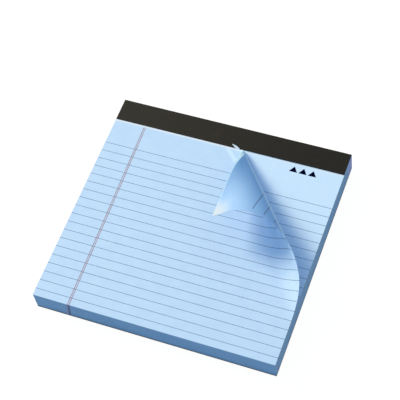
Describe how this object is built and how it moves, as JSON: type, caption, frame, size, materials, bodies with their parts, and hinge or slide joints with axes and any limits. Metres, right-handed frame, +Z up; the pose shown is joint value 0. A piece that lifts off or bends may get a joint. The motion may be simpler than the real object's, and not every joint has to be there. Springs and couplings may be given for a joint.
{
  "type": "notepad",
  "caption": "Ruled pale blue notepad taped at the head, its first sheet half torn off along the perforation and its loose corner curled over.",
  "frame": {"origin": "middle of the pad's underside, level with the surface that it rests on", "axes": "+Z up through the sheets, +Y from the foot towards the taped head, +X towards the right-hand edge of the page"},
  "size_m": [0.216, 0.2108, 0.0652],
  "materials": {
    "chipboard": "matte",
    "blue_paper": "matte",
    "binding_tape": "matte",
    "steel_wire": "satin"
  },
  "bodies": {
    "root": {"backing_board": "chipboard", "sheet_block": "blue_paper", "top_sheet": "blue_paper", "binding_strip": "binding_tape", "staples": "steel_wire"}
  },
  "joints": []
}
